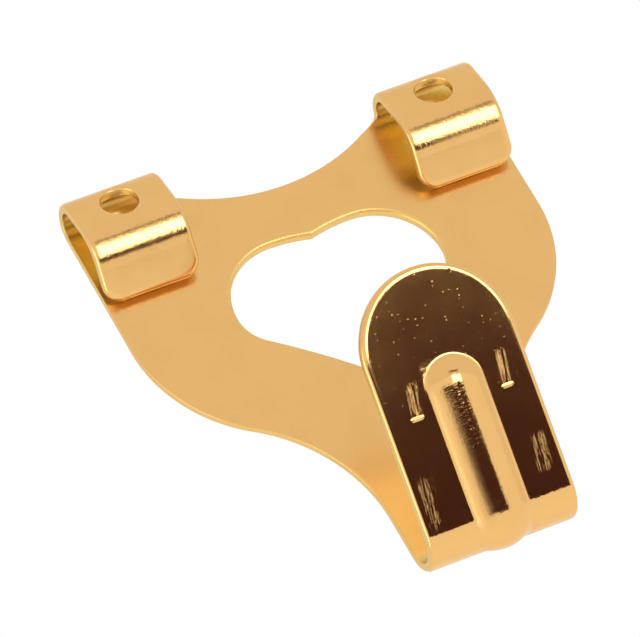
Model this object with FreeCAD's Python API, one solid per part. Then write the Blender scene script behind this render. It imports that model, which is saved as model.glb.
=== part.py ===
"""Picture hook: one piece of bright brass sheet, blanked, pierced, ribbed and folded.

Frame, in millimetres: the hook hangs on a wall as in use, +Z up. The back face lies on the plane Y = 0
and the front looks along -Y. The origin is on the back face, on the centre line, level with the two
holes where the nails leave the plate.
"""
import FreeCAD, Part
import math
import os

# Sheet and back plate
sheet = 0.7
edge_roll = 0.25
plate_width = 33.0
hook_drop = 33.0
shoulder_drop = 6.9
shoulder_radius = 11.6
neck_length = 3.4
top_edge_drop = 1.9
top_edge_rise = 0.96
top_edge_corner = 0.5

# Nail loops at the two top corners, with radii on the inside of each bend
loop_rise = 5.5
loop_width = 7.5
loop_bend_radius = 1.15
loop_bend_angle = 165.0
loop_face_length = 1.9
loop_belly_radius = 2.95
loop_belly_angle = 56.0
loop_tail_gap = 0.15
loop_tail_corner = 1.3

# Holes for the nails: in at the front of the loop, out at the back plate
nail_entry_diameter = 2.76
nail_entry_offset = 0.82
nail_exit_diameter = 3.2

# Cut-out in the middle of the plate
cutout_width = 16.5
cutout_drop = 2.54
cutout_brow_radius = 13.0
cutout_lobe_radius = 4.96
cutout_hip_radius = 3.2
cutout_hip_angle = 51.0
cutout_flank_radius = 60.0
cutout_tip_radius = 1.2

# Hook leaf, folded forward and up from the neck
hook_width = 11.7
hook_bend_radius = 1.8
hook_bend_angle = 150.0
leaf_length = 12.24

# Stiffening rib, pressed out along the leaf and over the bend
rib_width = 4.26
rib_height = 0.8
rib_length = 9.26
rib_bend_drop = 0.5
rib_wall_clearance = 0.03

# How far cutting shapes run past what they cut, and how far the rib's groove stays off its turning axis
overrun = 2.0
axis_clearance = 0.15

half_width = plate_width / 2
half_hook = hook_width / 2
loop_inside = half_width - loop_width
loop_middle = half_width - loop_width / 2
X_AXIS = FreeCAD.Vector(1, 0, 0)
FRONT = FreeCAD.Vector(0, -1, 0)
UP = FreeCAD.Vector(0, 0, 1)
QUARTER_TURN = 90.0

# Cosines of the angle between neighbouring faces: above the first they run on smoothly, below the second
# they meet at a cut edge
SMOOTH = 0.999
CUT_EDGE = 0.5

# How near two places are to count as one
SAME_PLACE = 0.001


def at(x, depth, height):
    """A point given by its distance in front of the wall."""
    return FreeCAD.Vector(x, -depth, height)


def line(a, b):
    return Part.LineSegment(a, b).toShape()


def arc(a, middle, b):
    return Part.Arc(a, middle, b).toShape()


def face(edges):
    return Part.Face(Part.Wire(edges))


def on_circle(centre_x, centre_z, radius, degrees):
    """A point on a circle drawn on the wall plane."""
    turn = math.radians(degrees)
    return at(centre_x + radius * math.cos(turn), 0, centre_z + radius * math.sin(turn))


def wall_arc(centre_x, centre_z, radius, start, end):
    """An arc drawn on the wall plane, between two directions in degrees."""
    angles = (start, (start + end) / 2, end)
    return arc(*(on_circle(centre_x, centre_z, radius, angle) for angle in angles))


def mirrored(edges):
    """The same edges on the other side of the centre line, in the order that closes the outline."""
    origin = FreeCAD.Vector(0, 0, 0)
    return [edge.mirror(origin, X_AXIS) for edge in reversed(edges)]


def turned(vector, degrees):
    """A direction in the side view, turned about the X axis."""
    return FreeCAD.Rotation(X_AXIS, degrees).multVec(vector)


class Strip:
    """The side view of a strip of the sheet, drawn as it is folded towards the front."""

    def __init__(self, outer, heading, fold_sign):
        self.outer = outer
        self.heading = heading
        self.inward = FRONT
        self.fold_sign = fold_sign
        self.outer_edges = []
        self.inner_edges = []

    def inner(self):
        return self.outer + self.inward * sheet

    def straight(self, length):
        start, start_inner = self.outer, self.inner()
        self.outer = self.outer + self.heading * length
        self.outer_edges.append(line(start, self.outer))
        self.inner_edges.append(line(start_inner, self.inner()))

    def bend(self, inside_radius, degrees):
        centre = self.outer + self.inward * (sheet + inside_radius)
        spokes = [turned(self.inward * -1, self.fold_sign * degrees * share) for share in (0, 0.5, 1)]
        self.outer_edges.append(arc(*(centre + spoke * (inside_radius + sheet) for spoke in spokes)))
        self.inner_edges.append(arc(*(centre + spoke * inside_radius for spoke in spokes)))
        self.outer = centre + spokes[2] * (inside_radius + sheet)
        self.heading = turned(self.heading, self.fold_sign * degrees)
        self.inward = turned(self.inward, self.fold_sign * degrees)
        return centre

    def solid(self, left, right):
        """The strip's section, drawn out along X between two sides."""
        start_cap = line(self.inner_edges[0].Vertexes[0].Point, self.outer_edges[0].Vertexes[0].Point)
        end_cap = line(self.outer, self.inner())
        section = face([start_cap] + self.outer_edges + [end_cap] + self.inner_edges[::-1])
        section.translate(X_AXIS * left)
        return section.extrude(X_AXIS * (right - left))


def plate_outline(fold_line, hook_line):
    """Half of the plate's outline: straight side, round shoulder, hollow neck."""
    shoulder_x = half_width - shoulder_radius
    neck_z = hook_line + neck_length
    narrowing = half_width - half_hook
    down = -shoulder_drop - neck_z
    both_radii = (narrowing ** 2 + down ** 2) / (2 * narrowing)
    neck_radius = both_radii - shoulder_radius
    neck_x = half_hook + neck_radius
    lean = -math.degrees(math.atan2(down, neck_x - shoulder_x))
    edges = [
        line(at(half_width, 0, fold_line), at(half_width, 0, -shoulder_drop)),
        wall_arc(shoulder_x, -shoulder_drop, shoulder_radius, 0, lean),
        wall_arc(neck_x, neck_z, neck_radius, 180 + lean, 180),
        line(at(half_hook, 0, neck_z), at(half_hook, 0, hook_line)),
    ]
    return edges


def plate(fold_line, hook_line):
    side = plate_outline(fold_line, hook_line)
    bottom = line(at(half_hook, 0, hook_line), at(-half_hook, 0, hook_line))
    top = line(at(-half_width, 0, fold_line), at(half_width, 0, fold_line))
    return face(side + [bottom] + mirrored(side) + [top]).extrude(FRONT * sheet)


def top_edge_cutter(fold_line):
    """Everything between the loops and above the hollow top edge."""
    hollow = top_edge_drop + top_edge_rise
    hollow_radius = (loop_inside ** 2 + hollow ** 2) / (2 * hollow)
    hollow_z = fold_line - top_edge_drop + hollow_radius
    corner_x = loop_inside - top_edge_corner
    corner_z = hollow_z - math.sqrt((hollow_radius - top_edge_corner) ** 2 - corner_x ** 2)
    above = loop_rise + overrun
    lean = math.degrees(math.atan2(corner_z - hollow_z, corner_x))
    side = [
        wall_arc(0, hollow_z, hollow_radius, -90, lean),
        wall_arc(corner_x, corner_z, top_edge_corner, lean, 0),
        line(at(loop_inside, 0, corner_z), at(loop_inside, 0, above)),
        line(at(loop_inside, 0, above), at(0, 0, above)),
    ]
    return through(face(side + mirrored(side)))


def through(drawing):
    """A drawing on the wall plane as a cutter that passes the plate and the loops."""
    drawing.translate(FRONT * -overrun)
    reach = sheet + 2 * (loop_bend_radius + sheet + loop_belly_radius)
    return drawing.extrude(FRONT * (reach + 2 * overrun))


def cutout_cutter():
    """The opening in the plate: brow, lobe, hip and flank on each side, and a round tip."""
    brow_z = -cutout_drop
    lobe_x = cutout_width / 2 - cutout_lobe_radius
    lobe_z = brow_z - cutout_lobe_radius
    hip_x = cutout_width / 2 - cutout_hip_radius
    reach = cutout_hip_radius + cutout_flank_radius
    flank_x = hip_x + reach * math.cos(math.radians(cutout_hip_angle))
    flank_z = lobe_z - reach * math.sin(math.radians(cutout_hip_angle))
    tip_reach = cutout_flank_radius + cutout_tip_radius
    tip_z = flank_z + math.sqrt(tip_reach ** 2 - flank_x ** 2)
    tip_lean = math.degrees(math.atan2(flank_z - tip_z, flank_x))
    brow_centre_z = brow_z - cutout_brow_radius
    cusp = 90 + math.degrees(math.asin(lobe_x / cutout_brow_radius))
    side = [
        wall_arc(lobe_x, brow_centre_z, cutout_brow_radius, cusp, 90),
        wall_arc(lobe_x, lobe_z, cutout_lobe_radius, 90, 0),
        wall_arc(hip_x, lobe_z, cutout_hip_radius, 0, -cutout_hip_angle),
        wall_arc(flank_x, flank_z, cutout_flank_radius, 180 - cutout_hip_angle, 180 + tip_lean),
        wall_arc(0, tip_z, cutout_tip_radius, tip_lean, -90),
    ]
    return through(face(side + mirrored(side)))


def nail_entry_cutters(centre, outward):
    """A punch square to each loop's front face."""
    radius = nail_entry_diameter / 2
    start = centre - outward * sheet
    places = (start - X_AXIS * loop_middle, start + X_AXIS * loop_middle)
    return [Part.makeCylinder(radius, 2 * sheet + overrun, place, outward) for place in places]


def nail_exit_cutters():
    """A punch square to the plate behind each loop."""
    radius = nail_exit_diameter / 2
    places = (at(-loop_middle, -sheet, 0), at(loop_middle, -sheet, 0))
    return [Part.makeCylinder(radius, 2 * sheet + loop_tail_gap, place, FRONT) for place in places]


def rounded_tails(body, tail_outer, tail_inner):
    """Round the corners of each loop's free end."""
    sides = (-half_width, -loop_inside, loop_inside, half_width)
    corners = []
    for x in sides:
        place = Part.Vertex((tail_outer + tail_inner) / 2 + X_AXIS * x)
        corners.append(min(body.Edges, key=lambda edge: edge.distToShape(place)[0]))
    return body.makeFillet(loop_tail_corner, corners)


def rib_section(radius, sink, chord):
    """A round-topped section seen from above: crest circle with its middle at sink, cut off at chord."""
    reach = math.sqrt(radius ** 2 - (sink - chord) ** 2)
    left, right = at(-reach, chord, 0), at(reach, chord, 0)
    return face([arc(left, at(0, sink + radius, 0), right), line(right, left)])


def rib_tool(radius, rib, chord):
    """A bar of the rib's section: along the wall, round the bend and up the leaf to a ball end."""
    section = rib_section(radius, rib["sink"], chord)
    centre = rib["centre"]
    on_wall = section.copy()
    on_wall.rotate(FreeCAD.Vector(0, 0, 0), UP, 180)
    on_wall.translate(centre)
    up_the_wall = on_wall.extrude(UP * (hook_bend_radius + rib_bend_drop))
    round_the_bend = on_wall.revolve(centre, X_AXIS, -hook_bend_angle)
    on_leaf = on_wall.copy()
    on_leaf.rotate(centre, X_AXIS, -hook_bend_angle)
    up_the_leaf = on_leaf.extrude(rib["leaf_way"] * rib["leaf_run"])
    end = centre + rib["leaf_out"] * rib["sink"] + rib["leaf_way"] * rib["leaf_run"]
    ball = Part.makeSphere(radius, end)
    size = 2 * radius + overrun
    keep = Part.makeBox(size, size, size, FreeCAD.Vector(-size / 2, -size / 2, 0))
    keep.Placement = FreeCAD.Placement(
        centre + rib["leaf_out"] * chord + rib["leaf_way"] * rib["leaf_run"],
        FreeCAD.Rotation(UP, rib["leaf_out"]),
    )
    return up_the_wall.fuse([round_the_bend, up_the_leaf, ball.common(keep)])


def hook(hook_line):
    """Neck bend and leaf, with the rib pressed out of them."""
    strip = Strip(at(0, 0, hook_line), UP * -1, -1)
    bend_centre = strip.bend(hook_bend_radius, hook_bend_angle)
    bend_end, leaf_way, leaf_in = strip.outer, strip.heading, strip.inward
    bend = strip.solid(-half_hook, half_hook)
    tip = bend_end + leaf_way * leaf_length
    left, right = X_AXIS * -half_hook, X_AXIS * half_hook
    leaf_edges = [
        line(bend_end + left, tip + left),
        arc(tip + left, tip + leaf_way * half_hook, tip + right),
        line(tip + right, bend_end + right),
        line(bend_end + right, bend_end + left),
    ]
    leaf = face(leaf_edges).extrude(leaf_in * sheet)

    leaf_out = leaf_in * -1
    rib_radius = ((rib_width / 2) ** 2 + rib_height ** 2) / (2 * rib_height)
    crest_level = (bend_end - bend_centre).dot(leaf_out) + rib_height
    drop = UP * -rib_bend_drop
    wall_start = at(0, rib_wall_clearance, bend_centre.z) + drop
    to_crest = crest_level - (wall_start - bend_centre).dot(leaf_out)
    crest_radius = to_crest / (1 + FRONT.dot(leaf_out))
    rib = {"centre": wall_start + FRONT * crest_radius, "sink": crest_radius - rib_radius,
           "leaf_way": leaf_way, "leaf_out": leaf_out}
    rib["leaf_run"] = rib_length - (rib["centre"] - bend_centre).dot(leaf_way)

    core_strip = Strip(at(0, -sheet / 2, hook_line + hook_bend_radius), UP * -1, -1)
    core_strip.straight(hook_bend_radius)
    core_strip.bend(hook_bend_radius + sheet / 2, hook_bend_angle)
    core_strip.straight(leaf_length)
    middle_edges = core_strip.inner_edges
    mouth = line(middle_edges[-1].Vertexes[-1].Point, middle_edges[0].Vertexes[0].Point)
    core = face(middle_edges + [mouth])
    core.translate(X_AXIS * -rib_width)
    throat = core.extrude(X_AXIS * (2 * rib_width))

    bulge = rib_tool(rib_radius, rib, crest_radius - rib_height - sheet).cut(throat)
    groove = rib_tool(rib_radius - sheet, rib, max(rib["sink"], 0) + axis_clearance)
    return bend.fuse([leaf, bulge]).cut(groove)


def lean(edge, faces):
    """The cosine of the angle between two faces, at the middle of the edge that they share."""
    middle = edge.valueAt((edge.FirstParameter + edge.LastParameter) / 2)
    first, second = (side.normalAt(*side.Surface.parameter(middle)) for side in faces)
    return first.dot(second)


def listed(shape, shapes):
    return any(shape.isSame(other) for other in shapes)


def rolled_rims(body):
    """Round every cut edge on the outer side of the sheet, which blanking draws over.

    The outer side is the back of the plate and the faces that run on smoothly from it round the folds.
    """
    seams = [(edge, body.ancestorsOfType(edge, Part.Face)) for edge in body.Edges]
    seams = [(edge, faces) for edge, faces in seams if len(faces) == 2]
    back = [side for side in body.Faces if abs(side.BoundBox.YMin) < sheet / 2]
    outer_side = [max(back, key=lambda side: side.Area)]
    for grown in outer_side:
        for edge, faces in seams:
            if listed(grown, faces) and lean(edge, faces) > SMOOTH:
                outer_side += [side for side in faces if not listed(side, outer_side)]
    rims = []
    for edge, faces in seams:
        outer_faces = [side for side in faces if listed(side, outer_side)]
        if len(outer_faces) == 1 and lean(edge, faces) < CUT_EDGE:
            rims.append(edge)
    return body.makeFillet(edge_roll, rims)


def pierced(body):
    """Cut the opening out of the plate and round its front edge, which the punch draws in."""
    cutter = cutout_cutter()
    opened = body.cut(cutter)
    on_front = [edge for edge in opened.Edges if abs(edge.CenterOfMass.y + sheet) < SAME_PLACE]
    rims = [edge for edge in on_front if edge.distToShape(cutter)[0] < SAME_PLACE]
    return opened.makeFillet(edge_roll, rims)


def picture_hook():
    fold_line = loop_rise - loop_bend_radius - sheet
    hook_line = -hook_drop + hook_bend_radius + sheet
    loops = Strip(at(0, 0, fold_line), UP, 1)
    loops.bend(loop_bend_radius, loop_bend_angle)
    nail_middle = loops.outer + loops.heading * nail_entry_offset + loops.inward * (sheet / 2)
    nail_out = loops.inward * -1
    loops.straight(loop_face_length)
    loops.bend(loop_belly_radius, loop_belly_angle)
    to_plate = -loops.inner().y - sheet - loop_tail_gap
    loops.straight(to_plate / loops.heading.y)
    root = Strip(at(0, 0, fold_line), UP, 1)
    root.bend(loop_bend_radius, QUARTER_TURN)
    body = plate(fold_line, hook_line).fuse(root.solid(-half_width, half_width))
    body = body.cut(top_edge_cutter(fold_line))
    body = body.fuse([loops.solid(-half_width, -loop_inside), loops.solid(loop_inside, half_width)])
    body = rounded_tails(body.removeSplitter(), loops.outer, loops.inner())
    body = body.cut(nail_entry_cutters(nail_middle, nail_out) + nail_exit_cutters())
    return pierced(rolled_rims(body.fuse(hook(hook_line)).removeSplitter()))


os.makedirs("parts", exist_ok=True)
hook_solid = picture_hook()
hook_solid.exportStep("parts/hook_plate.step")
print("solids", len(hook_solid.Solids), "valid", hook_solid.isValid())
print("volume", round(hook_solid.Volume, 2))
print("box", hook_solid.optimalBoundingBox())
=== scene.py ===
# %% [markdown]
# # A picture hook folded from one brass sheet
#
# The real hook starts as a flat blank. A press cuts its outline, pierces it, pushes up a rib, rolls the two
# top tabs into nail loops and folds the bottom tongue into the hook. This lesson follows the same order:
# a flat blank is drawn, and Geometry Nodes press and fold it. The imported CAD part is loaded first. It is
# the frame that everything else has to fit.

# %% Load the frame
import math

import bmesh
import bpy
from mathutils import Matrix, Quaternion, Vector


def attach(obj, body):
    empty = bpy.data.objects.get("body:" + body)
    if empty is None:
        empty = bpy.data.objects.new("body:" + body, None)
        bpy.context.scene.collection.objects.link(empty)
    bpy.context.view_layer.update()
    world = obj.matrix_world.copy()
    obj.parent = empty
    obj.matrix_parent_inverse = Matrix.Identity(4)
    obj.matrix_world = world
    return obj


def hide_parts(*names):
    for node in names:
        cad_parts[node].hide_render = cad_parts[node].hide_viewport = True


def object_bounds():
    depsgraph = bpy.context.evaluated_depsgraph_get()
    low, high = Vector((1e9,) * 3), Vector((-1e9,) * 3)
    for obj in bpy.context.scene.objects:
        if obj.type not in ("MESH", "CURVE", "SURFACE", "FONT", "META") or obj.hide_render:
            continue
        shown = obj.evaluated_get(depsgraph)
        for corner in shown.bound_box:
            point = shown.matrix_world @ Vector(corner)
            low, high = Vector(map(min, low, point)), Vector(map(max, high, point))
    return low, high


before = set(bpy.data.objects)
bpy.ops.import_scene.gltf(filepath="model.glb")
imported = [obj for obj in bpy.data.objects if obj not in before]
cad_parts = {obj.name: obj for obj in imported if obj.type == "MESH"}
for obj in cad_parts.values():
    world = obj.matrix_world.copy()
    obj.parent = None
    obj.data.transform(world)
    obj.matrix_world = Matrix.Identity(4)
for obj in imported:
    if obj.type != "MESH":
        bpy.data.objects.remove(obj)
cad_low, cad_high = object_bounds()
print("CAD box", [round(value, 5) for value in (*cad_low, *cad_high)])

# %% [markdown]
# ## Sizes
#
# The frame is in metres, and the hook is measured in millimetres, so every size is a number of MM. The
# overall width and the top of the loops come from the frame. The rest are the press tool's own sizes. A bend
# is given by the radius at the middle of the sheet, because that line keeps its length when the sheet is
# folded.

# %% Sizes of the sheet and the folds
MM = 0.001
sheet = 0.7 * MM
half_width = cad_high.x
half_hook = 5.85 * MM

loop_width = 7.5 * MM
loop_radius = 1.5 * MM
loop_angle = math.radians(165)
loop_face = 1.9 * MM
belly_radius = 3.3 * MM
belly_angle = math.radians(56)
loop_tail = 3.017 * MM
fold_line = cad_high.z - loop_radius - sheet / 2

hook_drop = 33.0 * MM
hook_radius = 2.15 * MM
hook_angle = math.radians(150)
leaf_length = 12.24 * MM
hook_line = -hook_drop + hook_radius + sheet / 2

belly_line = fold_line + loop_radius * loop_angle + loop_face
tail_top = belly_line + belly_radius * belly_angle + loop_tail
leaf_line = hook_line - hook_radius * hook_angle
tip_line = leaf_line - leaf_length
print("blank runs from", round((tip_line - half_hook) / MM, 2), "to", round(tail_top / MM, 2), "mm")

# %% [markdown]
# ## The outline of the blank
#
# A pressed blank has only straight runs and arcs. Each arc is sampled finely enough to look round, and a
# straight run needs just its two ends. Half of the outline is drawn, from the middle of the top edge down
# to the tip of the tongue, and the other half is its mirror image.

# %% Arcs and mirrored outlines
ARC_STEP = 0.16 * MM
ARC_TURN = math.radians(4)
SAME_PLACE = 0.001 * MM


def arc(centre, radius, start, end):
    """Points on an arc between two directions in degrees."""
    x, z = centre
    sweep = math.radians(end - start)
    steps = max(2, math.ceil(abs(sweep) / ARC_TURN), math.ceil(abs(sweep) * radius / ARC_STEP))
    turns = [math.radians(start) + sweep * step / steps for step in range(steps + 1)]
    return [Vector((x + radius * math.cos(turn), z + radius * math.sin(turn))) for turn in turns]


def without_repeats(points):
    """The points of a closed outline, each place once."""
    kept = []
    for point in points:
        if not kept or (point - kept[-1]).length > SAME_PLACE:
            kept.append(point)
    if (kept[0] - kept[-1]).length < SAME_PLACE:
        kept.pop()
    return kept


def with_mirror(side):
    """A closed outline from its right half."""
    return without_repeats(side + [Vector((-point.x, point.y)) for point in reversed(side)])


print("points on an arc are at most", round(ARC_STEP / MM, 2), "mm apart")

# %% The outer edge
shoulder_drop = 6.9 * MM
shoulder_radius = 11.6 * MM
neck_length = 3.4 * MM
top_edge_drop = 1.9 * MM
top_edge_rise = 1.04 * MM
top_edge_corner = 0.5 * MM
tail_corner = 1.3 * MM

loop_inside = half_width - loop_width
hollow = top_edge_drop + top_edge_rise
hollow_radius = (loop_inside ** 2 + hollow ** 2) / (2 * hollow)
hollow_z = fold_line - top_edge_drop + hollow_radius
notch_x = loop_inside - top_edge_corner
notch_z = hollow_z - math.sqrt((hollow_radius - top_edge_corner) ** 2 - notch_x ** 2)
notch_turn = math.degrees(math.atan2(notch_z - hollow_z, notch_x))

neck_z = hook_line + neck_length
narrowing = half_width - half_hook
shoulder_to_neck = -shoulder_drop - neck_z
neck_radius = (narrowing ** 2 + shoulder_to_neck ** 2) / (2 * narrowing) - shoulder_radius
shoulder_x = half_width - shoulder_radius
neck_x = half_hook + neck_radius
shoulder_turn = -math.degrees(math.atan2(shoulder_to_neck, neck_x - shoulder_x))

right_side = (
    arc((0, hollow_z), hollow_radius, -90, notch_turn)
    + arc((notch_x, notch_z), top_edge_corner, notch_turn, 0)
    + arc((loop_inside + tail_corner, tail_top - tail_corner), tail_corner, 180, 90)
    + arc((half_width - tail_corner, tail_top - tail_corner), tail_corner, 90, 0)
    + arc((shoulder_x, -shoulder_drop), shoulder_radius, 0, shoulder_turn)
    + arc((neck_x, neck_z), neck_radius, 180 + shoulder_turn, 180)
    + arc((0, tip_line), half_hook, 0, -90)
)
outer_edge = with_mirror(right_side)
print("outer edge has", len(outer_edge), "points")

# %% [markdown]
# ## The cut-out and the nail holes
#
# The cut-out is a run of arcs too: two brows that meet in a cusp at the top, a lobe and a hip at each side,
# and long flanks that run down to a round tip. A nail enters a loop through a round hole and leaves through
# a wider one in the plate behind it, so that it can slant down into the wall. All of them are pierced while
# the sheet is flat. Holes could also be cut from the finished solid, but on the blank they are plain
# outlines, and the folds then carry them along.

# %% Outlines of the cut-out and the nail holes
cutout_width = 16.5 * MM
cutout_drop = 2.54 * MM
brow_radius = 13.0 * MM
lobe_radius = 4.96 * MM
hip_radius = 3.2 * MM
hip_turn = 51
flank_radius = 60.0 * MM
cutout_tip_radius = 1.2 * MM
nail_entry_radius = 1.38 * MM
nail_entry_offset = 0.82 * MM
nail_exit_radius = 1.6 * MM

lobe_x = cutout_width / 2 - lobe_radius
lobe_z = -cutout_drop - lobe_radius
hip_x = cutout_width / 2 - hip_radius
flank_reach = hip_radius + flank_radius
flank_x = hip_x + flank_reach * math.cos(math.radians(hip_turn))
flank_z = lobe_z - flank_reach * math.sin(math.radians(hip_turn))
cutout_tip_z = flank_z + math.sqrt((flank_radius + cutout_tip_radius) ** 2 - flank_x ** 2)
tip_turn = math.degrees(math.atan2(flank_z - cutout_tip_z, flank_x))
cusp_turn = 90 + math.degrees(math.asin(lobe_x / brow_radius))
cutout = with_mirror(
    arc((lobe_x, -cutout_drop - brow_radius), brow_radius, cusp_turn, 90)
    + arc((lobe_x, lobe_z), lobe_radius, 90, 0)
    + arc((hip_x, lobe_z), hip_radius, 0, -hip_turn)
    + arc((flank_x, flank_z), flank_radius, 180 - hip_turn, 180 + tip_turn)
    + arc((0, cutout_tip_z), cutout_tip_radius, tip_turn, -90)
)

loop_middle = half_width - loop_width / 2
nail_entry_z = fold_line + loop_radius * loop_angle + nail_entry_offset
holes = [cutout]
for side in (-1, 1):
    holes.append(without_repeats(arc((side * loop_middle, nail_entry_z), nail_entry_radius, 0, -360)))
    holes.append(without_repeats(arc((side * loop_middle, 0), nail_exit_radius, 0, -360)))
print("holes have", [len(points) for points in holes], "points")

# %% [markdown]
# ## The blank as a solid sheet
#
# A press draws the sheet over at one side of a cut and leaves a small burr at the other. Round the outline
# and the nail holes the drawn side is the one that faces out on the loops and on the leaf. The cut-out is
# pierced the other way, so its soft edge is in front. Every edge gets a profile: a flat margin, a soft
# roll, a straight shear wall and a fine burr. The profile is carried round each outline as rings of
# points, and the two faces are then filled. A bevel could do it too, but the two sides of the edge differ,
# and rings give exact control. The flat margin keeps the shading of the roll out of the large faces.

# %% The profile of a cut edge
edge_roll_reach = 0.34 * MM
edge_roll_depth = 0.25 * MM
burr = 0.05 * MM
flat_margin = 0.2 * MM
ROLL_STEPS = 5
BURR_STEPS = 2


def edge_profile(roll_in_front):
    """How far in from the outline and how deep below the back face each ring lies."""
    rings = [(edge_roll_reach + flat_margin, 0.0)]
    for step in range(ROLL_STEPS + 1):
        turn = math.pi / 2 * step / ROLL_STEPS
        rings.append((edge_roll_reach * (1 - math.sin(turn)), edge_roll_depth * (1 - math.cos(turn))))
    for step in range(BURR_STEPS + 1):
        turn = math.pi / 2 * step / BURR_STEPS
        rings.append((burr * (1 - math.cos(turn)), sheet - burr * (1 - math.sin(turn))))
    rings.append((burr + flat_margin, sheet))
    if roll_in_front:
        rings = [(inset, sheet - depth) for inset, depth in reversed(rings)]
    return rings


print("an edge has", len(edge_profile(False)), "rings")

# %% Edges and faces of the blank
EDGE_SLOT = 1
MITRE_LIMIT = 0.5


def inward_steps(points):
    """For each point of an outline, the step that moves it a unit away from the cut, into the sheet."""
    area = sum(a.x * b.y - b.x * a.y for a, b in zip(points, points[1:] + points[:1]))
    turn = 1 if area > 0 else -1
    steps = []
    for before, point, after in zip(points[-1:] + points[:-1], points, points[1:] + points[:1]):
        arriving = (point - before).normalized()
        leaving = (after - point).normalized()
        normal = Vector((-arriving.y - leaving.y, arriving.x + leaving.x)).normalized() * turn
        steps.append(normal / max(MITRE_LIMIT, normal.dot(Vector((-leaving.y, leaving.x)) * turn)))
    return steps


def add_edge(bm, points, is_hole, roll_in_front):
    """The edge of one outline as a strip of faces. Returns its first and last ring of edges."""
    steps = [-step if is_hole else step for step in inward_steps(points)]
    rings = []
    for inset, depth in edge_profile(roll_in_front):
        ring = []
        for point, step in zip(points, steps):
            ring.append(bm.verts.new((point.x + step.x * inset, -depth, point.y + step.y * inset)))
        rings.append(ring)
    for ring, next_ring in zip(rings, rings[1:]):
        for i in range(len(points)):
            j = (i + 1) % len(points)
            strip = bm.faces.new((ring[i], ring[j], next_ring[j], next_ring[i]))
            strip.material_index = EDGE_SLOT
    ends = []
    for ring in (rings[0], rings[-1]):
        ends.append([bm.edges.get((a, b)) for a, b in zip(ring, ring[1:] + ring[:1])])
    return ends


blank = bmesh.new()
back_edges, front_edges = add_edge(blank, outer_edge, False, False)
for points in holes:
    hole_back, hole_front = add_edge(blank, points, True, points is cutout)
    back_edges += hole_back
    front_edges += hole_front
for edges in (back_edges, front_edges):
    bmesh.ops.triangle_fill(blank, use_beauty=True, edges=edges)
bmesh.ops.recalc_face_normals(blank, faces=blank.faces)
print("flat blank has", len(blank.faces), "faces")

# %% [markdown]
# ## Lines across the folds and a grid under the rib
#
# A mesh can only bend where it has points. The blank is sliced into narrow strips across each fold, and
# the leaf gets a fine grid where the rib comes up. The flat parts need no more points, and stay truly flat.
# A subdivided sheet would bend too, but most of its points would lie where nothing bends. Slicing leaves
# the old fill edges inside the strips, so those are dissolved to keep the strips clean.

# %% Slices across the folds
ACROSS = 0
UP = 2
FOLD_STEP = 0.09 * MM
CUT_REACH = 1e-8


def spread(start, end, step):
    """Evenly spaced values from start to end."""
    count = math.ceil(abs(end - start) / step)
    return [start + (end - start) * i / count for i in range(count + 1)]


def slice_at(bm, axis, values, low=None, high=None):
    """Cut the faces between two corners, or all of them, at each value along an axis."""
    normal = Vector((0, 0, 0))
    normal[axis] = 1
    for value in values:
        faces = bm.faces[:]
        if low is not None:
            centres = [(face, face.calc_center_median()) for face in faces]
            faces = [f for f, c in centres if low[0] < c.x < high[0] and low[1] < c.z < high[1]]
        parts = set(faces)
        for face in faces:
            parts.update(face.edges)
            parts.update(face.verts)
        bmesh.ops.bisect_plane(
            bm, geom=list(parts), dist=CUT_REACH, plane_co=normal * value, plane_no=normal
        )


fold_cuts = spread(fold_line, fold_line + loop_radius * loop_angle, FOLD_STEP)
fold_cuts += spread(belly_line, belly_line + belly_radius * belly_angle, FOLD_STEP)
fold_cuts += spread(hook_line, leaf_line, FOLD_STEP)
slice_at(blank, UP, fold_cuts)
print("the folds have", len(fold_cuts), "lines")

# %% Clear the old fill edges
ON_LINE = 1e-7


def is_leftover(edge):
    """True for an old fill edge inside one strip of a loop or of the tongue."""
    if len(edge.link_faces) != 2 or any(face.material_index for face in edge.link_faces):
        return False
    first, second = [vert.co.z for vert in edge.verts]
    past_fold = min(first, second) > fold_line - ON_LINE or max(first, second) < hook_line + ON_LINE
    is_level = abs(first - second) < ON_LINE
    on_cut = is_level and any(abs(first - cut) < ON_LINE for cut in fold_cuts)
    return past_fold and not on_cut


leftovers = [edge for edge in blank.edges if is_leftover(edge)]
print("old fill edges cleared:", len(leftovers))
bmesh.ops.dissolve_edges(blank, edges=leftovers, use_verts=True)

# %% A grid under the rib
RIB_STEP = 0.11 * MM
rib_half = 2.13 * MM
rib_length = 9.26 * MM
rib_margin = 0.45 * MM

rib_end = leaf_line - rib_length
rib_side = rib_half + rib_margin
rib_tip = rib_end - rib_side
blank_tip = tip_line - half_hook
slice_at(blank, ACROSS, [-rib_side, rib_side], (-half_hook, blank_tip), (half_hook, hook_line))
slice_at(blank, UP, [rib_end, rib_tip], (-rib_side, blank_tip), (rib_side, leaf_line))
rib_columns = spread(-rib_side, rib_side, RIB_STEP)[1:-1]
rib_rows = spread(rib_tip, rib_end, RIB_STEP)[1:-1]
slice_at(blank, ACROSS, rib_columns, (-rib_side, rib_tip), (rib_side, hook_line))
slice_at(blank, UP, rib_rows, (-rib_side, rib_tip), (rib_side, rib_end))
print("the rib has", len(rib_columns), "columns")

# %% Tell faces from walls
WALL_STEEPNESS = 0.3
ROLL_STEEPNESS = 0.99
cutout_margin = 2 * MM

blank.normal_update()
for face in blank.faces:
    middle = face.calc_center_median()
    at_cutout = abs(middle.x) < loop_inside and cutout_tip_z - cutout_margin < middle.z < 0
    steepness = ROLL_STEEPNESS if at_cutout else WALL_STEEPNESS
    face.material_index = EDGE_SLOT if abs(face.normal.y) < steepness else 0
blank_mesh = bpy.data.meshes.new("blank")
blank.to_mesh(blank_mesh)
blank.free()
print("sliced blank has", len(blank_mesh.polygons), "faces")

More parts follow.
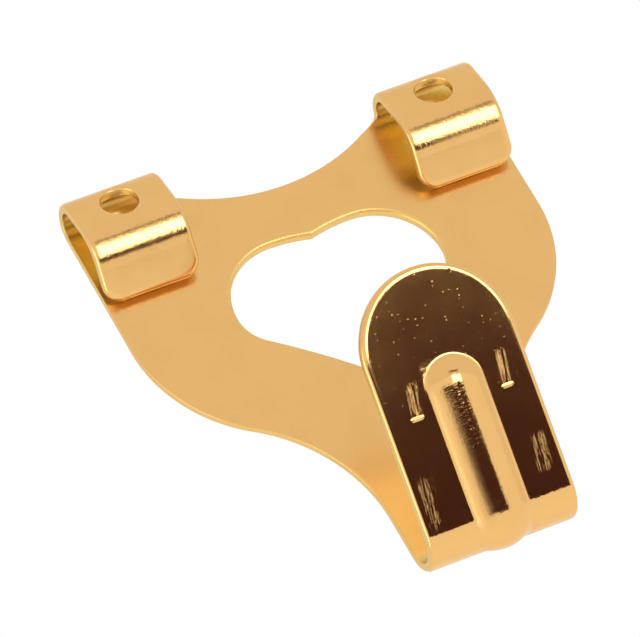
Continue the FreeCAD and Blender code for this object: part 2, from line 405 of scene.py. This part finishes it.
# %% [markdown]
# ## Brass
#
# Bright plated brass is a tinted mirror: it has almost no colour of its own beyond what it reflects. What
# makes it look real is the way the mirror is disturbed, by grain, scuffs, specks and tarnish. They could be
# laid over the finished piece, but most of them run along the sheet and round its folds. So they are laid
# out on the flat blank, and the nodes read the blank's own coordinates, which the press tool below stores
# on the mesh. A few helpers come first, because they keep the node trees short.

# %% Small helpers for node trees
FLOAT = "NodeSocketFloat"
VECTOR = "NodeSocketVector"
GEOMETRY = "NodeSocketGeometry"


def add_node(tree, kind, inputs=None, **settings):
    """A node with its settings, and its inputs set by number or name or linked."""
    node = tree.nodes.new(kind)
    for name, value in settings.items():
        setattr(node, name, value)
    for name, value in (inputs or {}).items():
        if isinstance(value, bpy.types.NodeSocket):
            tree.links.new(value, node.inputs[name])
        else:
            node.inputs[name].default_value = value
    return node


def maths(tree, operation, first, second=0.0, third=0.0):
    """The output of a Math node."""
    inputs = {0: first, 1: second, 2: third}
    return add_node(tree, "ShaderNodeMath", inputs, operation=operation).outputs[0]


def vector_maths(tree, operation, first, second):
    """The output of a Vector Math node."""
    return add_node(tree, "ShaderNodeVectorMath", {0: first, 1: second}, operation=operation).outputs[0]


def axes_of(tree, vector):
    """The X, Y and Z of a vector."""
    return add_node(tree, "ShaderNodeSeparateXYZ", {0: vector}).outputs


def point_at(tree, **axes):
    """A vector from its X, Y and Z, where those left out are 0."""
    return add_node(tree, "ShaderNodeCombineXYZ", axes).outputs[0]


def group_with(name, kind, inputs, outputs):
    """A node group with named sockets. Returns the tree, its inputs and its output node."""
    tree = bpy.data.node_groups.new(name, kind)
    for in_out, sockets in (("INPUT", inputs), ("OUTPUT", outputs)):
        for socket, socket_type in sockets.items():
            tree.interface.new_socket(name=socket, in_out=in_out, socket_type=socket_type)
    start = tree.nodes.new("NodeGroupInput")
    end = tree.nodes.new("NodeGroupOutput")
    return tree, start.outputs, end


print("helpers for nodes, sums and groups are ready")


# %% Helpers for masks and patterns
def product(tree, total, *others):
    """All the values multiplied."""
    for value in others:
        total = maths(tree, "MULTIPLY", total, value)
    return total


def largest(tree, most, *others):
    """The largest of the values."""
    for value in others:
        most = maths(tree, "MAXIMUM", most, value)
    return most


def weighted_sum(tree, total, terms):
    """A value plus each term times its weight."""
    for term, weight in terms:
        total = maths(tree, "MULTIPLY_ADD", term, weight, total)
    return total


def ramp(tree, value, start, end, blend="LINEAR"):
    """0 at one value, 1 at another, and a blend between."""
    inputs = {"Value": value, "From Min": start, "From Max": end}
    return add_node(tree, "ShaderNodeMapRange", inputs, interpolation_type=blend).outputs[0]


def near(tree, value, middle, reach, blend="LINEAR"):
    """1 round a middle value. The reach gives the distances where it ends and where it is full."""
    off = maths(tree, "ABSOLUTE", maths(tree, "SUBTRACT", value, middle))
    return ramp(tree, off, *reach, blend)


def noise(tree, place, pitch, detail, roughness):
    """Soft noise, with its pitch in waves per millimetre along each axis."""
    at = vector_maths(tree, "MULTIPLY", place, pitch)
    inputs = {"Vector": at, "Scale": 1.0, "Detail": detail, "Roughness": roughness}
    return add_node(tree, "ShaderNodeTexNoise", inputs).outputs["Fac"]


print("helpers for masks and patterns are ready")

# %% [markdown]
# ## Grain of the rolled sheet
#
# Rolling draws out fine streaks along a sheet, and bending it hard raises a short ripple. Both are noise on
# the blank, the streaks drawn out along it, and they add up to one height. A third noise is a slow cloud,
# which varies the polish and the tarnish. The faces and the walls of the cuts both use them, so they are
# one node group with the two heights as its inputs.

# %% The grain group
streak_noise = {"pitch": (9.0, 9.0, 0.7), "detail": 2.0, "roughness": 0.55}
ripple_noise = {"pitch": (5.0, 5.0, 4.0), "detail": 2.0, "roughness": 0.55}
cloud_noise = {"pitch": (0.35, 0.35, 0.35), "detail": 4.0, "roughness": 0.6}


def make_grain():
    """Streaks along the sheet and short ripples, as one height in millimetres, and a slow cloud."""
    tree, given, end = group_with(
        "rolled_grain", "ShaderNodeTree",
        {"Blank": VECTOR, "Streak": FLOAT, "Ripple": FLOAT}, {"Height": FLOAT, "Cloud": FLOAT},
    )
    streaks = noise(tree, given["Blank"], **streak_noise)
    ripples = noise(tree, given["Blank"], **ripple_noise)
    height = weighted_sum(tree, 0.0, [(streaks, given["Streak"]), (ripples, given["Ripple"])])
    tree.links.new(height, end.inputs["Height"])
    tree.links.new(noise(tree, given["Blank"], **cloud_noise), end.inputs["Cloud"])
    return tree


grain = make_grain()
print("grain group has", len(grain.nodes), "nodes")

# %% [markdown]
# ## Scuffs of the bending tool
#
# The tool that folds the leaf has scuffed it in four places. Each scuff is a slanted patch of scored lines,
# and two of them end in a small ridge of metal that was pushed along. They could be modelled, but they are
# a few hundredths of a millimetre deep, so a bump shows them as well. One group makes a scuff from its
# place and sizes, and it is laid on the leaf four times.

# %% The scuff group
score_depth = -0.013
ridge_height = 0.035
score_noise = {"pitch": (5.5, 1.0, 0.45), "detail": 3.0, "roughness": 0.65}
score_shows = (0.48, 0.68)
scuff_side = (1.0, 0.5)
scuff_end = (1.0, 0.6)
ridge_reach = (0.14, 0.0)
scuff_sizes = ("Middle X", "Middle Z", "Half Width", "Half Length", "Slant", "Ridge")


def make_scuff():
    """A patch of scored lines along the sheet, with the metal pushed up into a ridge at its foot."""
    tree, given, end = group_with(
        "tool_scuff", "ShaderNodeTree",
        {"Blank": VECTOR, **dict.fromkeys(scuff_sizes, FLOAT)}, {"Mask": FLOAT, "Height": FLOAT},
    )
    axes = axes_of(tree, given["Blank"])
    along = maths(tree, "SUBTRACT", axes["Z"], given["Middle Z"])
    straight = maths(tree, "SUBTRACT", axes["X"], given["Middle X"])
    across = maths(tree, "SUBTRACT", straight, maths(tree, "MULTIPLY", along, given["Slant"]))
    part_along = maths(tree, "DIVIDE", along, given["Half Length"])
    inside = near(tree, maths(tree, "DIVIDE", across, given["Half Width"]), 0.0, scuff_side)
    between_ends = near(tree, part_along, 0.0, scuff_end)
    scored_at = point_at(tree, X=across, Y=given["Middle X"], Z=along)
    scores = ramp(tree, noise(tree, scored_at, **score_noise), *score_shows)
    mask = product(tree, inside, between_ends, scores)
    at_foot = near(tree, part_along, 1.0, ridge_reach, "SMOOTHSTEP")
    ridge = product(tree, at_foot, inside, given["Ridge"])
    height = weighted_sum(tree, 0.0, [(mask, score_depth), (ridge, ridge_height)])
    tree.links.new(largest(tree, mask, ridge), end.inputs["Mask"])
    tree.links.new(height, end.inputs["Height"])
    return tree


scuff = make_scuff()
print("scuff group has", len(scuff.nodes), "nodes")

# %% [markdown]
# ## Zones of the sheet
#
# The press has not treated the whole sheet alike. Grain shows most where the metal was worked: on the left
# flank of the rib, over the hook's bend and on the belly of the loops. The rib's left flank is also duller
# and the whole rib has die lines. Inside the folds and under the loops, where shade falls, the brass is
# painted a yellower shade. Vertex paint could mark these zones, but masks worked out from the place on the
# blank stay sharp and are easy to change. Places are in millimetres on the blank. A pair gives where a zone
# ends and where it is full.

# %% Masks of the zones
rib_zone_middle = -40.3
rib_zone = (7.4, 6.8)
rib_zone_side = (2.2, 1.8)
rippled_flank = (1.2, -1.2)
dull_flank = (-0.5, -1.4)
dull_end = (-45.8, -44.4)
bend_zone_middle = -33.3
bend_zone = (3.9, 2.9)
bend_share = 0.7
belly_zone_middle = 11.9
belly_zone = (1.7, 1.0)
loop_zone = (3.6, 5.0)
outer_side = (-0.5, -0.2)
# inner_side to throat_share place the painted shade: inside the folds, under the loops and in the throat.
inner_side = (-0.5, -0.65)
under_loop_side = (8.4, 9.4)
under_loop_end = (-3.2, -2.0)
throat_zone = (-22.0, -28.0)
throat_share = 0.5


def zones_on(tree, place):
    """Masks for the zones of the sheet that look different, from the place on the blank."""
    x, y, z = axes_of(tree, place)
    off_middle = maths(tree, "ABSOLUTE", x)
    rib = product(tree, ramp(tree, off_middle, *rib_zone_side), near(tree, z, rib_zone_middle, rib_zone))
    rib_ripple = product(tree, rib, ramp(tree, x, *rippled_flank))
    bend = product(tree, near(tree, z, bend_zone_middle, bend_zone), bend_share)
    belly = near(tree, z, belly_zone_middle, belly_zone)
    under_loops = product(tree, ramp(tree, off_middle, *under_loop_side), ramp(tree, z, *under_loop_end))
    throat = product(tree, ramp(tree, z, *throat_zone), throat_share)
    return {
        "rib": rib,
        "dull flank": product(tree, rib, ramp(tree, x, *dull_flank), ramp(tree, z, *dull_end)),
        "worked": largest(tree, rib_ripple, bend, belly),
        "loops": ramp(tree, z, *loop_zone),
        "outside": ramp(tree, y, *outer_side),
        # Painted shade: the mask of where shade falls inside the folds, under the loops and in the throat.
        "folds": product(tree, ramp(tree, y, *inner_side), largest(tree, under_loops, throat)),
        "front": maths(tree, "MULTIPLY", y, -MM / sheet),
    }


print("the rib's zone is", 2 * rib_zone[0], "mm long, and the throat's starts", -throat_zone[0], "mm down")

# %% [markdown]
# ## Colour, scuffs and specks of the faces
#
# The cloud tarnishes the brass a little, and a yellower painted shade is laid inside the folds, where
# shade falls. Specks in the plating are round pits of different sizes. A Voronoi texture scatters them:
# its cells give each speck a middle, and the random colour of a cell gives the size, so that many cells
# have none.

# %% Parts of the face material
brass_colour = (0.778, 0.457, 0.163, 1.0)
tarnished_colour = (0.66, 0.36, 0.11, 1.0)
# A yellower painted shade for the inside of the folds and under the loops.
painted_fold_shade_colour = (0.73, 0.52, 0.155, 1.0)
tarnish_shows = (0.45, 0.75)
tarnish_share = 0.25
specks_per_mm = 1.9
speck_shows = (0.5, 1.0)
speck_radius = 0.11
speck_wall = (0.0, -0.08)
scuffs = (
    (-3.25, -45.4, 0.55, 1.35, -0.17, 1.0),
    (3.85, -45.5, 0.5, 1.4, -0.12, 0.8),
    (-4.75, -38.2, 0.75, 2.2, -0.13, 0.0),
    (4.3, -38.9, 0.75, 1.6, -0.08, 0.0),
)


def mixed_colour(tree, share, first, second):
    """A blend of two colours. On a Mix node the colours are inputs 6 and 7 and output 2."""
    return add_node(tree, "ShaderNodeMix", {0: share, 6: first, 7: second}, data_type="RGBA").outputs[2]


def face_colour(tree, cloud, zones):
    """Brass, tarnished in clouds, with a yellower painted shade inside the folds and under the loops."""
    tarnish = product(tree, ramp(tree, cloud, *tarnish_shows), tarnish_share)
    mottled = mixed_colour(tree, tarnish, brass_colour, tarnished_colour)
    # Mixes in the yellower painted shade inside the folds.
    return mixed_colour(tree, zones["folds"], mottled, painted_fold_shade_colour)


def lay_scuffs(tree, place, zones):
    """All the scuffs on the outer face. Returns their mask and their height."""
    marks, height = 0.0, 0.0
    for sizes in scuffs:
        inputs = {"Blank": place, **dict(zip(scuff_sizes, sizes))}
        laid = add_node(tree, "ShaderNodeGroup", inputs, node_tree=scuff)
        marks = maths(tree, "MULTIPLY_ADD", laid.outputs["Mask"], zones["outside"], marks)
        height = maths(tree, "MULTIPLY_ADD", laid.outputs["Height"], zones["outside"], height)
    return marks, height


def speck_pits(tree, place):
    """Round pits scattered over the faces, as a mask."""
    axes = axes_of(tree, place)
    inputs = {"Vector": point_at(tree, X=axes["X"], Y=axes["Z"]), "Scale": specks_per_mm}
    cells = add_node(tree, "ShaderNodeTexVoronoi", inputs, voronoi_dimensions="2D").outputs
    chance = add_node(tree, "ShaderNodeSeparateColor", {0: cells["Color"]}).outputs[0]
    radius = product(tree, ramp(tree, chance, *speck_shows), speck_radius)
    return ramp(tree, maths(tree, "SUBTRACT", cells["Distance"], radius), *speck_wall)


print("the leaf has", len(scuffs), "scuffs")

# %% [markdown]
# ## The two finishes
#
# The faces are polished where they face out on the loops and the leaf, and duller in front, where the plate
# lies open. The walls of the cuts were torn by the press, so they are duller still, with deeper lines
# through the sheet. Both start from the same brass and the same grain group, each with its own values.
# Heights are in millimetres, and a Bump node turns them into tilts of the mirror.

# %% What both finishes share
BUMP_STRENGTH = 1.0


def start_brass(name, colour, streak, ripple):
    """A tinted metal with grain. Returns the material, the place on the blank and the grain's outputs."""
    material = bpy.data.materials.new(name)
    material.use_nodes = True
    tree = material.node_tree
    shader = tree.nodes["Principled BSDF"]
    shader.inputs["Base Color"].default_value = colour
    shader.inputs["Metallic"].default_value = 1.0
    stored = add_node(tree, "ShaderNodeAttribute", attribute_name="blank").outputs["Vector"]
    in_mm = add_node(tree, "ShaderNodeVectorMath", {0: stored, "Scale": 1 / MM}, operation="SCALE")
    place = in_mm.outputs[0]
    inputs = {"Blank": place, "Streak": streak, "Ripple": ripple}
    rolled = add_node(tree, "ShaderNodeGroup", inputs, node_tree=grain)
    return material, place, rolled.outputs


def finish_brass(material, roughness, height):
    """Link the roughness, and tilt the surface by the height."""
    tree = material.node_tree
    shader = tree.nodes["Principled BSDF"]
    inputs = {"Height": height, "Strength": BUMP_STRENGTH, "Distance": MM}
    dent = add_node(tree, "ShaderNodeBump", inputs)
    tree.links.new(roughness, shader.inputs["Roughness"])
    tree.links.new(dent.outputs["Normal"], shader.inputs["Normal"])


print("a brass reads the attribute named blank in millimetres")

# %% Bright faces
face_streak, face_ripple = 0.008, 0.011
grain_everywhere, grain_where_worked = 0.08, 0.92
die_noise = {"pitch": (1.3, 1.3, 8.0), "detail": 3.0, "roughness": 0.5}
die_height = 0.006
pit_depth = -0.002
polish = 0.07
duller_by = {"cloud": 0.05, "loops": 0.05, "dull flank": 0.22, "scuffs": 0.22, "pits": 0.08, "front": 0.16}


def make_bright_brass():
    """The faces of the sheet: bright outside, duller in front, and marked where the press worked them."""
    material, place, rolled = start_brass("bright_brass", brass_colour, face_streak, face_ripple)
    tree = material.node_tree
    zones = zones_on(tree, place)
    colour = face_colour(tree, rolled["Cloud"], zones)
    tree.links.new(colour, tree.nodes["Principled BSDF"].inputs["Base Color"])
    marks, scuff_height = lay_scuffs(tree, place, zones)
    pits = speck_pits(tree, place)
    grain_share = maths(tree, "MULTIPLY_ADD", zones["worked"], grain_where_worked, grain_everywhere)
    die_lines = product(tree, noise(tree, place, **die_noise), zones["rib"])
    height = weighted_sum(tree, scuff_height, [
        (rolled["Height"], grain_share), (die_lines, die_height), (pits, pit_depth),
    ])
    masks = {**zones, "cloud": rolled["Cloud"], "scuffs": marks, "pits": pits}
    roughness = weighted_sum(tree, polish, [(masks[name], share) for name, share in duller_by.items()])
    finish_brass(material, roughness, height)
    return material


brass = make_bright_brass()
print(brass.name, "has", len(brass.node_tree.nodes), "nodes")

# %% Sheared walls
sheared_colour = (0.75, 0.49, 0.16, 1.0)
wall_streak, wall_ripple = 0.02, 0.01
wall_roughness, wall_cloud = 0.33, 0.1


def make_sheared_brass():
    """The walls of the cuts: duller, with deeper lines across the sheet's thickness."""
    material, _, rolled = start_brass("sheared_brass", sheared_colour, wall_streak, wall_ripple)
    roughness = maths(material.node_tree, "MULTIPLY_ADD", rolled["Cloud"], wall_cloud, wall_roughness)
    finish_brass(material, roughness, rolled["Height"])
    return material


shear_brass = make_sheared_brass()
print(shear_brass.name, "has", len(shear_brass.node_tree.nodes), "nodes")

# %% [markdown]
# ## Press and fold
#
# A fold is a rule: up to the fold line nothing moves, across the bend the sheet follows an arc, and beyond
# it the rest is carried round as one. That rule is a small Geometry Nodes group, and three of them make
# the hook: the belly of the loops, the roll at their top and the hook's own bend. The outermost fold
# comes first, while the sheet between is still flat. A Simple Deform modifier bends too, but it can't stop
# at a line and carry on straight.

# %% The fold group
fold_sizes = ("Blank Height", "Line", "Way", "Radius", "Angle", "Middle")


def make_fold():
    """A group that folds everything past a line on the blank towards the front."""
    tree, given, end = group_with(
        "fold_sheet", "GeometryNodeTree",
        {"Geometry": GEOMETRY, **dict.fromkeys(fold_sizes, FLOAT)}, {"Geometry": GEOMETRY},
    )
    line, way, radius = given["Line"], given["Way"], given["Radius"]
    past = maths(tree, "MULTIPLY", maths(tree, "SUBTRACT", given["Blank Height"], line), way)
    arc_length = maths(tree, "MULTIPLY", radius, given["Angle"])
    travel = maths(tree, "MINIMUM", maths(tree, "MAXIMUM", past, 0.0), arc_length)
    turn = maths(tree, "DIVIDE", travel, radius)
    flat_z = maths(tree, "MULTIPLY_ADD", travel, way, line)
    flat_point = point_at(tree, Y=given["Middle"], Z=flat_z)
    sine = maths(tree, "MULTIPLY", maths(tree, "SINE", turn), radius)
    bent_z = maths(tree, "MULTIPLY_ADD", sine, way, line)
    sunk = maths(tree, "SUBTRACT", maths(tree, "COSINE", turn), 1.0)
    bent_y = maths(tree, "MULTIPLY_ADD", sunk, radius, given["Middle"])
    bent_point = point_at(tree, Y=bent_y, Z=bent_z)
    position = tree.nodes.new("GeometryNodeInputPosition").outputs[0]
    about = {"Vector": position, "Center": flat_point, "Angle": maths(tree, "MULTIPLY", turn, way)}
    turned = add_node(tree, "ShaderNodeVectorRotate", about, rotation_type="X_AXIS").outputs[0]
    place = vector_maths(tree, "ADD", turned, vector_maths(tree, "SUBTRACT", bent_point, flat_point))
    moved = add_node(tree, "GeometryNodeSetPosition", {"Geometry": given["Geometry"], "Position": place})
    tree.links.new(moved.outputs[0], end.inputs["Geometry"])
    return tree


fold_group = make_fold()
print("fold group has", len(fold_group.nodes), "nodes")

# %% [markdown]
# ## The rib
#
# A punch pushes up a stiffening rib along the leaf, with a round top and a ball end, and it fades out over
# the bend. It is another rule on the flat blank: the sheet is lifted to the height of a bar with a round
# section, and a soft maximum joins the bar to the flat. The rule measures each layer of the sheet from the
# bar's own axis, so the rib keeps the sheet's thickness. A sculpted rib would not follow the fold as well.

# %% The rib group
rib_sizes = ("Height", "Half Width", "Fade Start", "Fade End", "End", "Softness")


def make_rib():
    """A group that lifts the sheet into a round-topped rib with a ball end, fading out over the bend."""
    tree, given, end = group_with(
        "press_rib", "GeometryNodeTree",
        {"Geometry": GEOMETRY, **dict.fromkeys(rib_sizes, FLOAT)}, {"Geometry": GEOMETRY},
    )
    height, half, softness = given["Height"], given["Half Width"], given["Softness"]
    x, y, z = axes_of(tree, tree.nodes.new("GeometryNodeInputPosition").outputs[0])
    fade = {"Value": z, "From Min": given["Fade Start"], "From Max": given["Fade End"],
            "To Min": maths(tree, "MULTIPLY", softness, -1.0), "To Max": height}
    crest = add_node(tree, "ShaderNodeMapRange", fade, interpolation_type="SMOOTHSTEP").outputs[0]
    squares = maths(tree, "MULTIPLY_ADD", half, half, maths(tree, "MULTIPLY", height, height))
    crown = maths(tree, "DIVIDE", maths(tree, "DIVIDE", squares, height), 2.0)
    layer_radius = maths(tree, "ADD", crown, y)
    past_end = maths(tree, "MAXIMUM", maths(tree, "SUBTRACT", given["End"], z), 0.0)
    off_axis = maths(tree, "MULTIPLY_ADD", x, x, maths(tree, "MULTIPLY", past_end, past_end))
    under_root = maths(tree, "SUBTRACT", maths(tree, "MULTIPLY", layer_radius, layer_radius), off_axis)
    dome = maths(tree, "SQRT", maths(tree, "MAXIMUM", under_root, 0.0))
    lift = maths(tree, "ADD", maths(tree, "SUBTRACT", dome, layer_radius), crest)
    soft_lift = maths(tree, "SMOOTH_MAX", lift, 0.0, softness)
    on_leaf = maths(tree, "LESS_THAN", z, given["Fade Start"])
    offset = point_at(tree, Y=maths(tree, "MULTIPLY", soft_lift, on_leaf))
    moved = add_node(tree, "GeometryNodeSetPosition", {"Geometry": given["Geometry"], "Offset": offset})
    tree.links.new(moved.outputs[0], end.inputs["Geometry"])
    return tree


rib_group = make_rib()
print("rib group has", len(rib_group.nodes), "nodes")

# %% [markdown]
# ## The whole press tool
#
# One tree puts the rules in order. It stores every point's place on the blank before anything moves, presses
# the rib, folds the belly, the loops and the hook, and gives the faces and the walls their two finishes. The
# sizes are its named inputs, so the tool can be set again without opening it.

# %% Sizes of the tool
rib_height = 0.8 * MM
rib_softness = 0.2 * MM
rib_start_turn = math.radians(26)
rib_full_turn = math.radians(115)
tool_sizes = {
    "Sheet Middle": -sheet / 2,
    "Loop Line": fold_line,
    "Loop Radius": loop_radius,
    "Loop Angle": loop_angle,
    "Belly Line": belly_line,
    "Belly Radius": belly_radius,
    "Belly Angle": belly_angle,
    "Hook Line": hook_line,
    "Hook Radius": hook_radius,
    "Hook Angle": hook_angle,
    "Rib Height": rib_height,
    "Rib Half Width": rib_half,
    "Rib End": rib_end,
    "Rib Fade Start": hook_line - hook_radius * rib_start_turn,
    "Rib Fade End": hook_line - hook_radius * rib_full_turn,
    "Rib Softness": rib_softness,
}
print("the tool has", len(tool_sizes), "sizes")

# %% The tool's tree
FORWARD_UP, FORWARD_DOWN = 1.0, -1.0
BETWEEN_SLOTS = 0.5


def make_press_tool():
    """The tree that stores the blank's places, presses the rib, folds the sheet and gives it its brass."""
    tree, given, end = group_with(
        "press_tool", "GeometryNodeTree",
        {"Geometry": GEOMETRY, **dict.fromkeys(tool_sizes, FLOAT)}, {"Geometry": GEOMETRY},
    )
    position = tree.nodes.new("GeometryNodeInputPosition").outputs[0]
    inputs = {"Geometry": given["Geometry"], "Name": "blank", "Value": position}
    kind = {"data_type": "FLOAT_VECTOR"}
    stored = add_node(tree, "GeometryNodeStoreNamedAttribute", inputs, domain="POINT", **kind)
    inputs = {"Geometry": stored.outputs[0], **{size: given[f"Rib {size}"] for size in rib_sizes}}
    shaped = add_node(tree, "GeometryNodeGroup", inputs, node_tree=rib_group)
    place = add_node(tree, "GeometryNodeInputNamedAttribute", {"Name": "blank"}, **kind)
    blank_height = axes_of(tree, place.outputs[0])["Z"]
    for part, way in (("Belly", FORWARD_UP), ("Loop", FORWARD_UP), ("Hook", FORWARD_DOWN)):
        inputs = {"Geometry": shaped.outputs[0], "Blank Height": blank_height, "Way": way,
                  "Middle": given["Sheet Middle"]}
        inputs.update({size: given[f"{part} {size}"] for size in ("Line", "Radius", "Angle")})
        shaped = add_node(tree, "GeometryNodeGroup", inputs, node_tree=fold_group)
    smooth = add_node(tree, "GeometryNodeSetShadeSmooth", {"Geometry": shaped.outputs[0]})
    dressed = add_node(tree, "GeometryNodeRealizeInstances", {"Geometry": smooth.outputs[0]})
    slot_number = tree.nodes.new("GeometryNodeInputMaterialIndex").outputs[0]
    for finish, side in ((brass, "LESS_THAN"), (shear_brass, "GREATER_THAN")):
        chosen = maths(tree, side, slot_number, BETWEEN_SLOTS)
        inputs = {"Geometry": dressed.outputs[0], "Material": finish, "Selection": chosen}
        dressed = add_node(tree, "GeometryNodeSetMaterial", inputs)
    tree.links.new(dressed.outputs[0], end.inputs["Geometry"])
    return tree


press_tool = make_press_tool()
print("press tool has", len(press_tool.nodes), "nodes")

# %% [markdown]
# ## From tool to finished piece
#
# The blank goes through the press tool as a modifier, and a Weighted Normal modifier after it keeps the
# large flats reading as flat right up to their rolled edges. The evaluated result is then taken as a plain
# mesh, so that the finished piece carries no modifiers. It stands for the CAD solid and rides on its body.

# %% Fold the blank
LARGE_FACES_COUNT_MORE = 50

blank_mesh.materials.append(brass)
blank_mesh.materials.append(shear_brass)
blank_object = bpy.data.objects.new("blank", blank_mesh)
bpy.context.scene.collection.objects.link(blank_object)
press = blank_object.modifiers.new("press", "NODES")
press.node_group = press_tool
sockets = {item.name: item.identifier for item in press_tool.interface.items_tree if item.in_out == "INPUT"}
for name, size in tool_sizes.items():
    press[sockets[name]] = size
blank_object.modifiers.new("flat_faces", "WEIGHTED_NORMAL").weight = LARGE_FACES_COUNT_MORE

evaluated = blank_object.evaluated_get(bpy.context.evaluated_depsgraph_get())
hook_mesh = bpy.data.meshes.new_from_object(evaluated)
hook_mesh.name = "folded_hook"
bpy.data.objects.remove(blank_object)
folded_hook = bpy.data.objects.new("folded_hook", hook_mesh)
bpy.context.scene.collection.objects.link(folded_hook)
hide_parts("hook_plate")
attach(folded_hook, "root")
print("folded hook has", len(hook_mesh.polygons), "faces and", [item.name for item in hook_mesh.materials])

# %% [markdown]
# ## Studio
#
# Brass shows its surroundings, so the studio is built as a product photographer builds one. The room and the
# floor are white. They could be left at that, but a mirror in a white room has no contrast. So a dark card
# stands close in front of the leaf and a little below, and the leaf mirrors it. A step at its top right
# also reaches the right loop.

# %% World and floor
WHITE = (1.0, 1.0, 1.0, 1.0)
matt_roughness = 0.9
floor_colour = (0.9, 0.9, 0.9, 1.0)
floor_glow = 0.22
floor_drop = 0.7
floor_size = 12.0
ALMOST_UPRIGHT = 1e-6

world = bpy.data.worlds.new("white_studio")
bpy.context.scene.world = world
world.use_nodes = True
world.node_tree.nodes["Background"].inputs["Color"].default_value = WHITE
world.node_tree.nodes["Background"].inputs["Strength"].default_value = 1.0


def plain_material(name, colour):
    """A matt material without a highlight. Returns it and its shader."""
    material = bpy.data.materials.new(name)
    material.use_nodes = True
    shader = material.node_tree.nodes["Principled BSDF"]
    shader.inputs["Base Color"].default_value = colour
    shader.inputs["Roughness"].default_value = matt_roughness
    shader.inputs["Specular IOR Level"].default_value = 0.0
    return material, shader


def add_card(name, centre, facing, width, height, material):
    """A flat rectangle that faces a direction, with its sides level."""
    sideways = facing.cross(Vector((0, 0, 1)))
    sideways = sideways.normalized() if sideways.length > ALMOST_UPRIGHT else Vector((1, 0, 0))
    upward = sideways.cross(facing)
    signs = ((-1, -1), (1, -1), (1, 1), (-1, 1))
    corners = [centre + sideways * (a * width / 2) + upward * (b * height / 2) for a, b in signs]
    mesh = bpy.data.meshes.new(name)
    mesh.from_pydata(corners, [], [(0, 1, 2, 3)])
    mesh.materials.append(material)
    card = bpy.data.objects.new(name, mesh)
    bpy.context.scene.collection.objects.link(card)
    return card


pale, pale_shader = plain_material("pale_floor", floor_colour)
pale_shader.inputs["Emission Color"].default_value = WHITE
pale_shader.inputs["Emission Strength"].default_value = floor_glow
add_card("floor", Vector((0, 0, -floor_drop)), Vector((0, 0, 1)), floor_size, floor_size, pale)
print("floor lies", floor_drop, "m below")

# %% Dark cards
dark_colour = (0.055, 0.018, 0.02, 1.0)
leaf_middle = Vector((0, -11, -23)) * MM
card_azimuth, card_elevation = 3, -29.5
card_distance = 0.12
strip_distance = 0.5
strip_width, strip_height = 0.2, 0.03


def towards(azimuth, elevation):
    """The direction from the hook to a place round it. Azimuth 0 is in front and 90 is at its right."""
    a, e = math.radians(azimuth), math.radians(elevation)
    return Vector((math.sin(a) * math.cos(e), -math.cos(a) * math.cos(e), math.sin(e)))


dark, _ = plain_material("dark_card", dark_colour)
card_way = towards(card_azimuth, card_elevation)
card_up = towards(card_azimuth, card_elevation + 90)
card_side = towards(card_azimuth + 90, 0)


def add_dark_card(name, left, right, low, high):
    """A dark card in front of the leaf, from its edges across and up in millimetres."""
    middle = (card_side * (left + right) + card_up * (low + high)) / 2 * MM
    centre = leaf_middle + card_way * card_distance + middle
    return add_card(name, centre, -card_way, (right - left) * MM, (high - low) * MM, dark)


strip_way = towards(20, 1.5)
dark_cards = [
    add_dark_card("dark_card", left=-62.5, right=68, low=-30, high=4),
    add_dark_card("dark_card_top", left=25, right=50, low=4, high=15),
    add_card("dark_strip", strip_way * strip_distance, -strip_way, strip_width, strip_height, dark),
]
for card in dark_cards:
    card.visible_camera = False
print("dark cards", [card.name for card in dark_cards])

# %% [markdown]
# ## Lamps
#
# Two lamps stand round the hook. The band lamp is in front and below, and draws the bright band along the
# loops, between the dark card and the dark strip. The side lamp, at the left, draws the bright rims. The
# light in a real room also reaches into the folds from everywhere, so the throat of the hook and each loop
# get a small fill lamp. Like the dark cards, the lamps are hidden from the camera. An area lamp's power is
# worked out from the brightness that the mirror should show, because that is what can be compared.

# %% Lamps round the hook and inside the folds
lamp_distance = 0.5
throat_facing = Vector((0, 0.866, 0.5))
loop_facing = Vector((0, -1, 0))


def add_lamp(name, place, facing, width, height, radiance):
    """A flat lamp of even brightness that stays out of the picture."""
    data = bpy.data.lights.new(name, "AREA")
    data.shape = "RECTANGLE"
    data.size = width
    data.size_y = height
    data.energy = radiance * math.pi * width * height
    lamp = bpy.data.objects.new(name, data)
    bpy.context.scene.collection.objects.link(lamp)
    lamp.location = place
    lamp.rotation_mode = "QUATERNION"
    lamp.rotation_quaternion = facing.to_track_quat("-Z", "Y")
    lamp.visible_camera = False
    print(name, round(data.energy, 6), "W")


band_way = towards(21, -22.3)
side_way = towards(-78, -12)
throat = Vector((0, -7.8, -24.3)) * MM
add_lamp("band_lamp", band_way * lamp_distance, -band_way, width=0.18, height=0.25, radiance=4.0)
add_lamp("side_lamp", side_way * lamp_distance, -side_way, width=0.3, height=0.4, radiance=1.5)
add_lamp("throat_fill", throat, throat_facing, width=11 * MM, height=15 * MM, radiance=0.55)
for side in (-1, 1):
    inside_loop = Vector((side * loop_middle, -0.8 * MM, 1.6 * MM))
    add_lamp("loop_fill", inside_loop, loop_facing, width=6 * MM, height=4 * MM, radiance=0.6)

# %% [markdown]
# ## Camera
#
# The photograph looks at the hook from below and from its left with a long lens, and the camera is rolled.
# Place, aim, roll and lens come from fitting the outlines of the hook to the picture.

# %% Camera
camera_place = Vector((-178.515, -448.280, -272.365)) * MM
camera_aim = Vector((-3.792, -3.111, -11.273)) * MM
camera_roll = math.radians(-30.633)
camera_lens = 428.934
camera_sensor = 36.0

camera_data = bpy.data.cameras.new("camera")
camera_data.sensor_width = camera_sensor
camera_data.lens = camera_lens
camera = bpy.data.objects.new("camera", camera_data)
bpy.context.scene.collection.objects.link(camera)
look = (camera_aim - camera_place).normalized()
camera.location = camera_place
camera.rotation_mode = "QUATERNION"
camera.rotation_quaternion = Quaternion(look, -camera_roll) @ look.to_track_quat("-Z", "Y")
bpy.context.scene.camera = camera
bpy.context.scene.view_settings.view_transform = "Standard"
print("camera stands", round(camera_place.length, 3), "m away")
